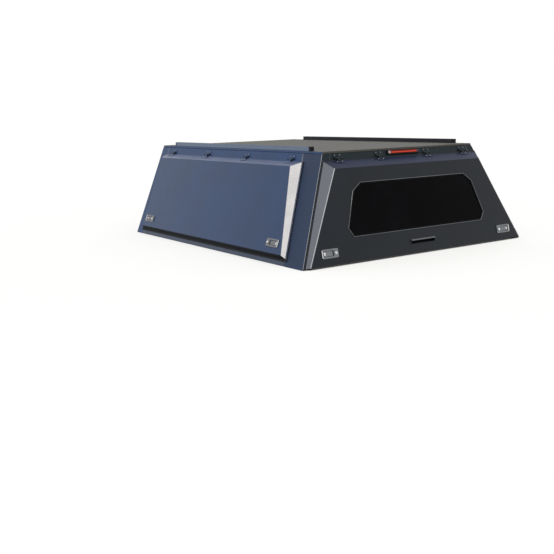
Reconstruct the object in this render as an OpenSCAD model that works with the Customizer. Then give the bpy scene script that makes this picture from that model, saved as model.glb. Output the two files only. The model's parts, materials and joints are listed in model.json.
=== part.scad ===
// Pickup truck canopy: a folded-sheet shell with two lift-up side doors and a rear hatch.
// Millimetres. +X is the right-hand side, +Y points to the cab, +Z is up.
// The origin is under the middle of the canopy, on the plane of its base.

/* [Body] */
// Length along the base, from the rear face to the front wall
base_len = 2145; // [1800:10:2600]
// Width across the base
base_w = 1840; // [1640:10:1980]
// Width across the roof
roof_w = 1245; // [1100:10:1450]
// Height of the body without the roof rails
body_h = 645; // [600:5:900]
// How far the rear face leans forward at the roof
rear_rake = 188; // [100:5:240]
// How far the front wall leans forward at the roof
front_lean = 58; // [0:5:100]
// Depth of posts, headers and sills, square to their face
frame_d = 38; // [30:1:50]
// Wall of the folded channels that make posts, headers and sills
frame_wall = 5; // [4.5:0.5:7]
// Sheet thickness of the folded panels
sheet = 3; // [2:0.5:4]

/* [Posts and headers] */
// Width of the rear post on the side face, along the base
rear_post_w = 166; // [120:1:220]
// Width of the rear post on the rear face
rear_return = 62; // [50:1:90]
// Width of the front post on the side face, along the base
front_post_w = 84; // [60:1:140]
// How far posts, headers and sills reach behind a door or the hatch
frame_lap = 20; // [16:1:30]
// Thickness of the front wall at its folded border
front_d = 30; // [20:1:45]
// Width of the folded border of the front wall
front_border = 55; // [40:1:80]

/* [Roof] */
// Height of the roof's folded edge
roof_lip = 12; // [8:1:20]
// Shadow gap under the roof's edge
roof_seam = 3; // [1:0.5:6]
// Number of cross bows under the roof
bow_count = 3; // [2:1:6]
// Width of a cross bow
bow_w = 60; // [40:1:90]
// Height of a cross bow
bow_h = 24; // [16:1:40]

/* [Roof rails] */
// Width of a roof rail
rail_w = 30; // [24:1:45]
// Height of a roof rail
rail_h = 27; // [18:1:32]
// Distance from the roof's side edge to the rail
rail_inset = 3; // [2:1:60]
// Distance from the roof's rear edge to the rail
rail_rear = 138; // [40:2:300]
// Distance from the roof's front edge to the rail
rail_front = 200; // [40:5:300]
// Width of the slot along the top of the rail
slot_w = 9; // [6:0.5:12]
// Width of the channel under the slot
channel_w = 17; // [14:0.5:20]
// Wall above and below the channel
rail_wall = 4; // [2:0.5:5]
// Length of a rail's end cap
cap_len = 14; // [8:1:24]

/* [Side doors] */
// Header visible above a side door, along the slope
header_band = 67; // [50:1:90]
// Height of a door's lower edge above the base, along the slope
door_low = 38; // [30:1:60]
// How far a door's main face stands out at its top fold
door_proud_top = 54; // [40:1:65]
// How far a door's main face stands out at its lower fold
door_proud_low = 28; // [20:1:38]
// Run of the top bevel, along the slope
door_top_run = 46; // [36:1:60]
// Run of the lower bevel, along the slope
door_low_run = 14; // [8:1:24]
// Slope of the bevels at the door's front and rear edges
door_bevel = 45; // [36:1:55]

/* [Hatch] */
// Header visible above the hatch, along the slope
hatch_band = 53; // [48:1:80]
// Post visible beside the hatch
hatch_edge = 6; // [6:1:20]
// Height of the hatch's lower edge above the base, along the slope
hatch_low = 6; // [4:1:20]
// How far the hatch's main face stands out at its top fold
hatch_proud_top = 62; // [45:1:70]
// How far the hatch's main face stands out at its lower edge
hatch_proud_low = 29; // [22:1:38]
// Run of the hatch's top bevel, along the slope
hatch_top_run = 59; // [45:1:75]
// Slope of the bevels at the hatch's side edges
hatch_bevel = 48; // [40:1:60]

/* [Panel edges] */
// Gap between the body and the back of a closed door or hatch
panel_gap = 5; // [4:0.5:8]
// Flat lip outside the bevels
lip = 5; // [4:1:10]
// Width of the flat border behind a panel
rim_w = 34; // [24:1:50]
// How far a door seal shows outside the door's edge
seal_show = 4; // [2:0.5:8]
// How far the seal shows under the door's lower edge
seal_show_low = 9; // [4:0.5:14]
// Clearance between a seal and the closed panel
seal_clear = 0.3; // [0.2:0.1:1]
// Width of a stiffener behind a panel
rib_w = 46; // [30:1:70]

/* [Hatch window] */
// Half width of the window's top edge
window_top_x = 435; // [380:5:470]
// Half width at the upper shoulders
window_shoulder_x = 500; // [450:5:530]
// Half width at the widest place
window_wide_x = 572; // [520:4:620]
// Half width of the window's lower edge
window_low_x = 539; // [480:1:590]
// Distance from the hatch's upper edge down to the window's top edge
window_drop = 155; // [130:1:180]
// Distance from the hatch's upper edge down to the window's upper shoulders
shoulder_drop = 203; // [190:1:240]
// Height of the widest place, along the slope
window_wide = 203; // [185:1:240]
// Height of the lower edge, along the slope
window_low = 150; // [130:5:175]
// Width of the rubber around a window
window_rubber = 12; // [8:1:18]
// Thickness of the glass
glass_t = 5; // [4:0.5:6]

/* [Front window] */
// Width of the front window
front_window_w = 1020; // [800:10:1060]
// Distance from the roof down to the front window's upper edge
front_window_drop = 118; // [80:1:200]
// Height of the front window's lower edge, along the slope
front_window_low = 230; // [200:5:240]
// Chamfer at the corners of the front window
front_window_chamfer = 40; // [20:5:80]

/* [Hinges] */
// Length of one hinge
hinge_len = 56; // [50:2:90]
// Outer radius of a hinge knuckle
knuckle_r = 7; // [6:0.5:8]
// Radius of a hinge pin
hinge_pin_r = 3; // [2.5:0.25:4]
// Running clearance round a pin
pin_clear = 0.06; // [0.04:0.01:0.1]
// Length of a hinge's moving knuckle
knuckle_len = 22; // [20:1:40]
// Gap between a hinge's knuckles
knuckle_gap = 1; // [0.5:0.25:2]
// Height of the hinge axis above the edge of a door or the hatch
axis_rise = 9; // [8.5:0.5:12]
// Distance of the hinge axis from the body's face
axis_out = 9; // [8.5:0.5:12]
// Length of a fixed leaf above the axis
fixed_leaf = 28; // [24:1:44]
// Reach of a moving leaf down the bevel
moving_leaf = 28; // [24:1:44]
// Thickness of a hinge leaf
leaf_t = 3; // [2:0.5:4]
// Number of hinges on a side door
door_hinges = 4; // [2:1:6]
// Distance from a side door's top corner to the nearest hinge
hinge_end = 126; // [60:2:250]
// Distance of the outer hatch hinges from the middle
hatch_hinge_outer = 522; // [460:2:560]
// Distance of the inner hatch hinges from the middle
hatch_hinge_inner = 200; // [180:2:300]

/* [Latches] */
// Length of a side door latch
door_latch_w = 122; // [110:2:150]
// Height of a side door latch
door_latch_h = 50; // [46:2:80]
// Distance from a side door's end edge to the middle of its latch
door_latch_in = 127; // [110:2:200]
// Height of a side door latch's middle, along the slope
door_latch_v = 119; // [110:1:170]
// Length of a hatch latch
hatch_latch_w = 120; // [110:2:140]
// Height of a hatch latch
hatch_latch_h = 54; // [46:2:70]
// Distance from the hatch's side edge to the middle of its latch
hatch_latch_in = 148; // [130:1:200]
// Height of a hatch latch's middle, along the slope
hatch_latch_v = 73; // [66:1:100]
// How far a latch plate stands out
latch_plate = 5; // [3:0.5:7]
// Depth of a latch's cup behind the sheet
cup_d = 18; // [14:1:24]
// Wall of a latch's cup and frame
latch_wall = 8; // [6:0.5:10]
// Clearance round a latch paddle
paddle_clear = 1.5; // [1:0.25:2.5]
// Radius of a latch's key cylinder
key_r = 10; // [8:0.5:12]

/* [Pull handle] */
// Width of the hand slot in the hatch
slot_len = 205; // [160:5:260]
// Height of the hand slot
slot_h = 26; // [22:1:36]
// Height of the hand slot's middle, along the slope
slot_v = 70; // [60:1:90]
// Wall of the hand slot's cup
slot_wall = 3; // [2:0.5:4]
// Depth of the hand slot's cup
slot_d = 22; // [16:1:24]

/* [Brake light] */
// Length of the high brake light
brake_len = 262; // [200:2:300]
// Height of the high brake light
brake_h = 28; // [22:1:34]
// How far the high brake light stands out
brake_d = 14; // [8:1:20]

/* [Base bolts] */
// Width of the flange inside a sill
flange_w = 45; // [35:1:60]
// Thickness of the flange inside a sill
flange_t = 5; // [4:0.5:8]
// Length of the flange inside a sill
flange_len = 1700; // [1450:10:1720]
// Distance between the two bolt holes in a sill
bolt_pitch = 1400; // [1000:20:1420]
// Radius of a bolt hole
bolt_r = 5.5; // [4:0.25:7]

/* [Hidden] */
side_tilt = atan((base_w - roof_w) / 2 / body_h);
rear_tilt = atan(rear_rake / body_h);
front_tilt = atan(front_lean / body_h);
side_v = body_h / cos(side_tilt);
rear_v = body_h / cos(rear_tilt);
front_v = body_h / cos(front_tilt);

// Slopes of the faces' edges, seen square to each face
rear_edge = rear_rake / side_v;
front_edge = front_lean / side_v;
corner_edge = (base_w - roof_w) / 2 / rear_v;

// Outer edges of doors and hatch on their faces
door_high = side_v - header_band;
hatch_high = rear_v - hatch_band;
hatch_half = base_w / 2 - hatch_edge;
hatch_latch_x = hatch_half - corner_edge * hatch_latch_v - hatch_latch_in;
window_top = hatch_high - window_drop;
window_shoulder = hatch_high - shoulder_drop;

// Hinge axes on the faces
door_axis_v = door_high + axis_rise;
hatch_axis_v = hatch_high + axis_rise;

// The hatch's lower edge reaches furthest back, and the roof's front edge furthest forward
rear_reach = hatch_proud_low * cos(rear_tilt) - hatch_low * sin(rear_tilt);
mid_y = (base_len + front_lean - rear_reach) / 2;

rail_len = base_len + front_lean - rear_rake - rail_rear - rail_front;
rail_x = roof_w / 2 - rail_inset - rail_w / 2;
bolt_x = base_w / 2 - frame_d / cos(side_tilt) - flange_w / 2;
// Windows: rubber in front of the sheet, glass behind it
rubber_out = 2;
glass_sink = 1;
// Seals: how far they stop short of the frame's edge and of a panel's top edge, and their glue line
seal_in = 2;
seal_sit = 0.05;
seal_top = 1;
// Brake light: its gap under the roof's edge, its middle, its wall, and its lens in and out
brake_gap = 0.5;
brake_v = rear_v - roof_lip - roof_seam - brake_gap - brake_h / 2;
brake_wall = 4;
lens_d = 8;
lens_out = 2;
// Hinges: gap from knuckle to leaf, neck past the axis, and the moving leaf's start and neck
leaf_gap = 3;
neck_in = 2;
leaf_start = 6;
neck_near = 2;
neck_far = 8;
neck_cut = 0.5;
// Latches: plate corner, cup wall, cup outside its opening, its play in the sheet, key, paddle
plate_corner = 8;
cup_wall = 2;
cup_rim = 1.5;
cup_play = 0.5;
key_out = 3;
paddle_pin_r = 2.5;
paddle_barrel_r = 5;
pin_down = 4;
paddle_t = 4.5;
paddle_lip_w = 7;
paddle_lip_h = 8;
// Pull handle: play in the sheet, rim round the slot, and the grip along its top
slot_play = [0.3, 0.6];
slot_rim = [4, 3];
slot_rim_t = 2;
slot_thin = 2;
grip_h = 6;
grip_out = 5;
grip_lap = 5;

far = 6000;
over = 10;
$fn = 48;

// Half width, rear end and front end of the body at height z, moved in by an amount square to the face
function side_x(z, inset) = base_w / 2 - z * tan(side_tilt) - inset / cos(side_tilt);
function rear_y(z, inset) = z * tan(rear_tilt) + inset / cos(rear_tilt);
function front_y(z, inset) = base_len + z * tan(front_tilt) - inset / cos(front_tilt);

// A polygon with its points anticlockwise, moved in by an amount on every side
function unit(v) = v / norm(v);
function edge_normal(pts, i) = let (e = unit(pts[(i + 1) % len(pts)] - pts[i])) [-e[1], e[0]];
function inset(pts, d) = [for (i = [0:len(pts) - 1])
    let (a = edge_normal(pts, (i + len(pts) - 1) % len(pts)), b = edge_normal(pts, i))
    pts[i] + (a + b) * d / (1 + a * b)];

// Outline on the side face between lines parallel to its rear and front edges
function side_outline(rear, front, low, high) = [
    [rear + rear_edge * low, low],
    [base_len - front + front_edge * low, low],
    [base_len - front + front_edge * high, high],
    [rear + rear_edge * high, high]];

// Outline on the rear face between lines parallel to its two corners
function rear_outline(edge, low, high) = [
    [-(base_w / 2 - edge - corner_edge * low), low],
    [base_w / 2 - edge - corner_edge * low, low],
    [base_w / 2 - edge - corner_edge * high, high],
    [-(base_w / 2 - edge - corner_edge * high), high]];

door_outline = side_outline(rear_post_w, front_post_w, door_low, door_high);
hatch_outline = rear_outline(hatch_edge, hatch_low, hatch_high);
hatch_window = [
    [-window_low_x, window_low], [window_low_x, window_low],
    [window_wide_x, window_wide], [window_shoulder_x, window_shoulder],
    [window_top_x, window_top], [-window_top_x, window_top],
    [-window_shoulder_x, window_shoulder], [-window_wide_x, window_wide]];
front_window = let (w = front_window_w / 2, c = front_window_chamfer,
    lo = front_window_low, hi = front_v - front_window_drop) [
    [-w + c, lo], [w - c, lo], [w, lo + c], [w, hi - c],
    [w - c, hi], [-w + c, hi], [-w, hi - c], [-w, lo + c]];

// Places on the side face of the hinges and latches of a door
door_hinge_span = base_len - front_post_w + front_edge * door_high - rear_post_w
    - rear_edge * door_high - 2 * hinge_end;
function door_hinge_u(i) = rear_post_w + rear_edge * door_high + hinge_end
    + door_hinge_span * i / (door_hinges - 1);
rear_latch_u = rear_post_w + rear_edge * door_latch_v + door_latch_in;
front_latch_u = base_len - front_post_w + front_edge * door_latch_v - door_latch_in;

// Height of a panel's main face above the body's face at a place on the slope
function rise(low, low_out, high, high_out, v) = low_out + (high_out - low_out) * (v - low) / (high - low);
door_face_low = door_low + lip + door_low_run;
door_face_high = door_high - lip - door_top_run;
hatch_face_high = hatch_high - lip - hatch_top_run;
function door_face(v) = rise(door_face_low, door_proud_low, door_face_high, door_proud_top, v);
function hatch_face(v) = rise(hatch_low, hatch_proud_low, hatch_face_high, hatch_proud_top, v);
door_face_tilt = atan((door_proud_top - door_proud_low) / (door_face_high - door_face_low));
hatch_face_tilt = atan((hatch_proud_top - hatch_proud_low) / (hatch_face_high - hatch_low));

// Frames of the faces: X along the face, Y up the slope, Z out of the body (into it on the front)
module centred() { translate([0, -mid_y, 0]) children(); }
module on_right() {
    translate([base_w / 2, 0, 0]) rotate([0, -side_tilt, 0]) rotate([90, 0, 90]) children();
}
module on_side(side) { mirror([side < 0 ? 1 : 0, 0, 0]) on_right() children(); }
module on_rear() { rotate([90 - rear_tilt, 0, 0]) children(); }
module on_front() { translate([0, base_len, 0]) rotate([90 - front_tilt, 0, 0]) children(); }

// A profile drawn as height up the slope and distance out, run along the face
module along(from, to) { translate([from, 0, 0]) rotate([90, 0, 90]) linear_extrude(to - from) children(); }

module plate(low, high) { translate([0, 0, low]) linear_extrude(high - low) children(); }

// The body's outer form between two heights, moved in by an amount
module envelope(inset, low, high) {
    intersection() {
        rotate([90, 0, 0]) translate([0, 0, -far]) linear_extrude(2 * far) polygon([
            [-side_x(low, inset), low], [side_x(low, inset), low],
            [side_x(high, inset), high], [-side_x(high, inset), high]]);
        rotate([90, 0, 90]) translate([0, 0, -far]) linear_extrude(2 * far) polygon([
            [rear_y(low, inset), low], [front_y(low, inset), low],
            [front_y(high, inset), high], [rear_y(high, inset), high]]);
    }
}

// The rebate that the roof's folded edge sits in
module roof_rebate() {
    difference() {
        envelope(-over, body_h - roof_lip - roof_seam, body_h + over);
        envelope(sheet, body_h - roof_lip - roof_seam - over, body_h + 2 * over);
    }
}

// A member of the frame: the first child trimmed to the body, hollowed from inside by the second
module member() {
    difference() {
        intersection() {
            envelope(0, 0, body_h - sheet);
            children(0);
        }
        roof_rebate();
        intersection() {
            envelope(frame_wall, frame_wall, body_h - sheet - frame_wall);
            children(1);
        }
    }
}
module side_slab(outline) { on_right() plate(-frame_d, over) polygon(outline); }
module rear_slab(outline) { on_rear() plate(-frame_d, over) polygon(outline); }
module side_hollow(outline) {
    on_right() plate(-frame_d - over, -frame_wall) polygon(inset(outline, frame_wall));
}
module rear_hollow(outline) {
    on_rear() plate(-frame_d - over, -frame_wall) polygon(inset(outline, frame_wall));
}

module rear_post(side) {
    side_leg = [
        [-far, -over], [rear_post_w + frame_lap - rear_edge * over, -over],
        [rear_post_w + frame_lap + rear_edge * (side_v + over), side_v + over],
        [-far, side_v + over]];
    rear_leg = [
        [base_w / 2 - rear_return + corner_edge * over, -over], [far, -over],
        [far, rear_v + over],
        [base_w / 2 - rear_return - corner_edge * (rear_v + over), rear_v + over]];
    mirror([side < 0 ? 1 : 0, 0, 0]) member() {
        union() {
            side_slab(side_leg);
            rear_slab(rear_leg);
        }
        union() {
            side_hollow(side_leg);
            rear_hollow(rear_leg);
        }
    }
}

module front_post(side) {
    leg = [
        [base_len - front_post_w - frame_lap - front_edge * over, -over], [far, -over],
        [far, side_v + over],
        [base_len - front_post_w - frame_lap + front_edge * (side_v + over), side_v + over]];
    mirror([side < 0 ? 1 : 0, 0, 0]) member() {
        side_slab(leg);
        side_hollow(leg);
    }
}

module side_header(side) {
    bar = side_outline(
        rear_post_w + frame_lap, front_post_w + frame_lap, door_high - frame_lap, side_v + over);
    mirror([side < 0 ? 1 : 0, 0, 0]) member() {
        side_slab(bar);
        side_hollow(bar);
    }
}

// A sill, with a flange along its inside that is bolted down onto the bed rail
module sill(side) {
    bar = side_outline(rear_post_w + frame_lap, front_post_w + frame_lap, -over, door_low + frame_lap);
    flange_x = side_x(0, frame_d) - flange_w;
    mirror([side < 0 ? 1 : 0, 0, 0]) difference() {
        union() {
            member() {
                side_slab(bar);
                side_hollow(bar);
            }
            translate([flange_x, mid_y - flange_len / 2, 0])
                cube([flange_w + frame_d / 2, flange_len, flange_t]);
        }
        for (y = [-bolt_pitch / 2, bolt_pitch / 2])
            translate([bolt_x, mid_y + y, -over]) cylinder(r = bolt_r, h = flange_t + 2 * over);
    }
}

module rear_header() {
    bar = rear_outline(rear_return, hatch_high - frame_lap, rear_v + over);
    member() {
        rear_slab(bar);
        rear_hollow(bar);
    }
}

// The front wall: a sheet with a deep folded border round its edges and round the window
module front_wall() {
    wall = [
        [-side_x(0, frame_d), 0], [side_x(0, frame_d), 0],
        [side_x(body_h, frame_d), front_v], [-side_x(body_h, frame_d), front_v]];
    color("#3a3f47") centred() difference() {
        intersection() {
            member() {
                on_front() plate(-over, front_d) polygon(inset(wall, -over));
                on_front() plate(sheet, front_d + over) difference() {
                    polygon(inset(wall, front_border));
                    polygon(inset(front_window, -front_border));
                }
            }
            envelope_sides(frame_d, -over, body_h + over);
        }
        on_front() plate(-2 * over, front_d + over) polygon(front_window);
    }
}
module front_window_seal() {
    color("#15161a") centred() on_front() plate(-rubber_out, sheet + glass_t) difference() {
        polygon(front_window);
        polygon(inset(front_window, window_rubber));
    }
}
module front_window_glass() {
    color("#1d2126") centred() on_front() plate(glass_sink, glass_sink + glass_t)
        polygon(inset(front_window, window_rubber));
}

module roof_panel() {
    color("#4b4a46") centred() difference() {
        envelope(0, body_h - roof_lip, body_h);
        envelope(sheet, body_h - roof_lip - over, body_h - sheet);
    }
}

// Cross bows: open channels under the roof, from one header to the other
module roof_bows() {
    top = body_h - sheet;
    first = rear_rake + frame_d;
    last = base_len + front_lean - frame_d;
    color("#34383f") centred() for (i = [1:bow_count])
        translate([0, first + (last - first) * i / (bow_count + 1), 0]) intersection() {
            translate([0, -(first + last) / 2, 0]) envelope_sides(frame_d, top - bow_h, top);
            difference() {
                translate([-far / 2, -bow_w / 2, top - bow_h]) cube([far, bow_w, bow_h]);
                translate([-far / 2, -bow_w / 2 + sheet, top - bow_h + sheet])
                    cube([far, bow_w - 2 * sheet, bow_h]);
            }
        }
}
module envelope_sides(inset, low, high) {
    rotate([90, 0, 0]) translate([0, 0, -far]) linear_extrude(2 * far) polygon([
        [-side_x(low, inset), low], [side_x(low, inset), low],
        [side_x(high, inset), high], [-side_x(high, inset), high]]);
}

// Roof rail: a channel with a slot along its top
module rail_profile() {
    difference() {
        translate([-rail_w / 2, 0]) square([rail_w, rail_h]);
        translate([-channel_w / 2, rail_wall]) square([channel_w, rail_h - 2 * rail_wall]);
        translate([-slot_w / 2, rail_wall]) square([slot_w, rail_h]);
    }
}
module roof_rail(side) {
    color("#2c2e33") centred() translate([side * rail_x, rear_rake + rail_rear + rail_len, body_h])
        rotate([90, 0, 0]) linear_extrude(rail_len) rail_profile();
}
module roof_rail_caps() {
    color("#121316") centred() for (side = [-1, 1]) {
        translate([side * rail_x, rear_rake + rail_rear, body_h]) rail_cap();
        translate([side * rail_x, rear_rake + rail_rear + rail_len + cap_len, body_h]) rail_cap();
    }
}
module rail_cap() {
    rotate([90, 0, 0]) linear_extrude(cap_len) translate([-rail_w / 2, 0]) square([rail_w, rail_h]);
}

module brake_light_housing() {
    color("#17181b") centred() on_rear() translate([0, brake_v, 0]) difference() {
        plate(0, brake_d) square([brake_len, brake_h], center = true);
        plate(brake_d - lens_d, brake_d + over) brake_lens_face();
    }
}
module brake_light_lens() {
    color("#b3161c") centred() on_rear() translate([0, brake_v, 0])
        plate(brake_d - lens_d, brake_d + lens_out) brake_lens_face();
}
module brake_lens_face() { square([brake_len - 2 * brake_wall, brake_h - 2 * brake_wall], center = true); }

// Seals on the body round the door and hatch openings
module door_seal(side) {
    color("#101114") centred() on_side(side) plate(seal_sit, panel_gap - seal_clear) difference() {
        polygon(side_outline(rear_post_w - seal_show, front_post_w - seal_show,
            door_low - seal_show_low, door_high - seal_top));
        polygon(side_outline(rear_post_w + frame_lap - seal_in, front_post_w + frame_lap - seal_in,
            door_low + frame_lap - seal_in, door_high - frame_lap + seal_in));
    }
}
module hatch_seal() {
    color("#101114") centred() on_rear() plate(seal_sit, panel_gap - seal_clear) difference() {
        polygon(rear_outline(hatch_edge - seal_show, hatch_low, hatch_high - seal_top));
        polygon(rear_outline(rear_return - 2 * seal_in, -over, hatch_high - frame_lap + seal_in));
    }
}

// A folded pan: a main face between bevels, one wall of sheet thick, with a flat border behind
module wedge(slope) {
    rotate([90, 0, 0]) translate([0, 0, -far]) linear_extrude(2 * far)
        polygon([[0, panel_gap], [far, panel_gap + far * tan(slope)], [far, panel_gap]]);
}
module door_block() {
    foot = lip / cos(atan(rear_edge));
    intersection() {
        along(0, base_len + far) polygon([
            [door_low + lip, panel_gap], [door_face_low, door_proud_low],
            [door_face_high, door_proud_top], [door_high - lip, panel_gap]]);
        translate([rear_post_w + foot, 0, 0]) rotate([0, 0, -atan(rear_edge)]) wedge(door_bevel);
        translate([base_len - front_post_w - lip, 0, 0]) rotate([0, 0, -atan(front_edge)])
            mirror([1, 0, 0]) wedge(door_bevel);
    }
}
module hatch_block() {
    foot = lip / cos(atan(corner_edge));
    intersection() {
        along(-far, far) polygon([
            [hatch_low, panel_gap], [hatch_low, hatch_proud_low],
            [hatch_face_high, hatch_proud_top], [hatch_high - lip, panel_gap]]);
        hatch_side_wedge(foot);
        mirror([1, 0, 0]) hatch_side_wedge(foot);
    }
}
module hatch_side_wedge(foot) {
    translate([hatch_half - foot, 0, 0]) rotate([0, 0, atan(corner_edge)])
        mirror([1, 0, 0]) wedge(hatch_bevel);
}
module rim(outline) {
    plate(panel_gap, panel_gap + sheet) difference() {
        polygon(outline);
        polygon(inset(outline, rim_w));
    }
}

module door_panel(side) {
    color("#45536c") centred() on_side(side) difference() {
        union() {
            difference() {
                door_block();
                translate([0, 0, -sheet]) door_block();
            }
            rim(door_outline);
        }
        for (u = [rear_latch_u, front_latch_u]) on_door_face(u) latch_cutout(door_latch_w, door_latch_h);
    }
}

// A point on a door's or the hatch's main face, with Z square to it
module on_door_face(u) {
    translate([u, door_latch_v, door_face(door_latch_v)]) rotate([door_face_tilt, 0, 0]) children();
}
module on_hatch_face(x, v) {
    translate([x, v, hatch_face(v)]) rotate([hatch_face_tilt, 0, 0]) children();
}

// Stiffeners: channels across the back of a door, up its slope, open towards the sheet
module door_ribs(side) {
    low = door_low + rim_w;
    high = door_high - rim_w;
    bevel_rise = (door_proud_top - panel_gap) / door_top_run;
    under = sheet + seal_clear;
    back = [
        [low, panel_gap], [high, panel_gap],
        [high, panel_gap + (door_high - lip - high) * bevel_rise - under],
        [door_face_high, door_proud_top - under], [low, door_face(low) - under]];
    color("#34383f") centred() on_side(side) for (t = [0.25, 0.5, 0.75]) {
        u = rear_post_w + rear_edge * high + t * (base_len - front_post_w - rear_post_w - rear_edge * high);
        translate([u - rib_w / 2, 0, 0]) difference() {
            along(0, rib_w) polygon(back);
            translate([0, 0, sheet]) along(sheet, rib_w - sheet) polygon(back);
        }
    }
}

// One hinge, drawn about its axis: X along the axis, Y up the slope, Z out
module hinge_fixed() {
    side_len = (hinge_len - knuckle_len) / 2 - knuckle_gap;
    leaf_from = knuckle_r + leaf_gap;
    for (x = [-hinge_len / 2, hinge_len / 2 - side_len]) translate([x, 0, 0]) {
        rotate([0, 90, 0]) cylinder(r = knuckle_r, h = side_len);
        translate([0, -neck_in, -axis_out]) cube([side_len, leaf_from + 2 * neck_in, leaf_t]);
        translate([0, -neck_in, -axis_out]) cube([side_len, knuckle_r, axis_out]);
    }
    translate([-hinge_len / 2, leaf_from, -axis_out]) cube([hinge_len, fixed_leaf - leaf_from, leaf_t]);
    translate([-hinge_len / 2, 0, 0]) rotate([0, 90, 0]) cylinder(r = hinge_pin_r, h = hinge_len);
}
module hinge_moving(run, out) {
    slope = atan((out - panel_gap) / run);
    down = [-cos(slope), sin(slope)];
    foot = [-axis_rise - lip, panel_gap - axis_out];
    mid = foot + [sin(slope), cos(slope)] * leaf_t / 2;
    difference() {
        union() {
            translate([-knuckle_len / 2, 0, 0]) rotate([0, 90, 0]) cylinder(r = knuckle_r, h = knuckle_len);
            along(-knuckle_len / 2, knuckle_len / 2) polygon([
                [0, knuckle_r - neck_cut], mid + down * (leaf_start + neck_far),
                mid + down * (leaf_start + neck_near), [0, neck_cut]]);
        }
        translate([-knuckle_len, 0, 0]) rotate([0, 90, 0])
            cylinder(r = hinge_pin_r + pin_clear, h = 2 * knuckle_len);
    }
    along(-hinge_len / 2, hinge_len / 2) translate(foot) rotate(180 - slope)
        translate([leaf_start, -leaf_t]) square([moving_leaf - leaf_start, leaf_t]);
}

module door_fixed_hinges(side) {
    color("#141518") centred() on_side(side) for (i = [0:door_hinges - 1])
        translate([door_hinge_u(i), door_axis_v, axis_out]) hinge_fixed();
}
module door_hinge_leaves(side) {
    color("#141518") centred() on_side(side) for (i = [0:door_hinges - 1])
        translate([door_hinge_u(i), door_axis_v, axis_out]) hinge_moving(door_top_run, door_proud_top);
}
hatch_hinge_x = [-hatch_hinge_outer, -hatch_hinge_inner, hatch_hinge_inner, hatch_hinge_outer];
module hatch_fixed_hinges() {
    color("#141518") centred() on_rear() for (x = hatch_hinge_x)
        translate([x, hatch_axis_v, axis_out]) hinge_fixed();
}
module hatch_hinge_leaves() {
    color("#141518") centred() on_rear() for (x = hatch_hinge_x)
        translate([x, hatch_axis_v, axis_out]) hinge_moving(hatch_top_run, hatch_proud_top);
}

// A latch, drawn about the middle of its plate: X to the key, Y up, Z out
module rounded(w, h, r) {
    square([w - 2 * r, h], center = true);
    square([w, h - 2 * r], center = true);
    for (x = [-1, 1], y = [-1, 1]) translate([x * (w / 2 - r), y * (h / 2 - r)]) circle(r = r);
}
module latch_back(w, h, grow) {
    square([w - 2 * latch_wall + 2 * grow, h - 2 * latch_wall + 2 * grow], center = true);
}
module latch_cutout(w, h) { plate(-2 * cup_d, 2 * cup_d) latch_back(w, h, cup_rim + cup_play); }
function pin_x(w) = w / 2 - 2 * latch_wall - 2 * key_r - paddle_barrel_r;
module latch_housing(w, h) {
    open_from = -w / 2 + latch_wall;
    open_to = pin_x(w) + paddle_barrel_r + paddle_clear;
    open_h = h - 2 * latch_wall - 2 * cup_wall;
    difference() {
        union() {
            plate(0, latch_plate) rounded(w, h, plate_corner);
            plate(-cup_d, 0) latch_back(w, h, cup_rim);
            translate([w / 2 - latch_wall - key_r, 0, 0]) cylinder(r = key_r, h = latch_plate + key_out);
        }
        translate([open_from, -open_h / 2, cup_wall - cup_d])
            cube([open_to - open_from, open_h, cup_d + latch_plate]);
    }
    translate([pin_x(w), open_h / 2 + cup_wall / 2, -pin_down]) rotate([90, 0, 0])
        cylinder(r = paddle_pin_r, h = open_h + cup_wall);
}
module latch_paddle(w, h) {
    paddle_h = h - 2 * latch_wall - 2 * cup_wall - 2 * paddle_clear;
    free_x = -w / 2 + latch_wall + paddle_clear;
    difference() {
        union() {
            translate([pin_x(w), paddle_h / 2, -pin_down]) rotate([90, 0, 0])
                cylinder(r = paddle_barrel_r, h = paddle_h);
            translate([free_x, -paddle_h / 2, -pin_down]) cube([pin_x(w) - free_x, paddle_h, paddle_t]);
            translate([free_x, -paddle_h / 2, -pin_down]) cube([paddle_lip_w, paddle_h, paddle_lip_h]);
        }
        translate([pin_x(w), paddle_h, -pin_down]) rotate([90, 0, 0])
            cylinder(r = paddle_pin_r + pin_clear, h = 2 * paddle_h);
    }
}
module on_door_latch(side, front) {
    centred() on_side(side) on_door_face(front ? front_latch_u : rear_latch_u)
        mirror([front ? 1 : 0, 0, 0]) children();
}
module on_hatch_latch(side) {
    centred() mirror([side > 0 ? 1 : 0, 0, 0]) on_rear() on_hatch_face(-hatch_latch_x, hatch_latch_v)
        children();
}
module door_latches(side) {
    color("#6d7177") for (front = [false, true])
        on_door_latch(side, front) latch_housing(door_latch_w, door_latch_h);
}
module door_paddle(side, front) {
    color("#8a8e94") on_door_latch(side, front) latch_paddle(door_latch_w, door_latch_h);
}
module hatch_latches() {
    color("#6d7177") for (side = [-1, 1]) on_hatch_latch(side) latch_housing(hatch_latch_w, hatch_latch_h);
}
module hatch_paddle(side) {
    color("#8a8e94") on_hatch_latch(side) latch_paddle(hatch_latch_w, hatch_latch_h);
}

// A slab that follows the hatch's main face, between two distances from it
module hatch_layer(from, to) {
    along(-far, far) polygon([
        [hatch_low, hatch_face(hatch_low) + from], [hatch_face_high, hatch_face(hatch_face_high) + from],
        [hatch_face_high, hatch_face(hatch_face_high) + to], [hatch_low, hatch_face(hatch_low) + to]]);
}
module hatch_panel() {
    color("#2e3138") centred() on_rear() difference() {
        union() {
            difference() {
                hatch_block();
                translate([0, 0, -sheet]) hatch_lined();
            }
            rim(hatch_outline);
        }
        plate(-over, far) polygon(hatch_window);
        plate(-over, far) translate([0, slot_v]) square([slot_len, slot_h], center = true);
        for (side = [-1, 1]) on_hatch_face(side * hatch_latch_x, hatch_latch_v)
            latch_cutout(hatch_latch_w, hatch_latch_h);
    }
}
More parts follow.
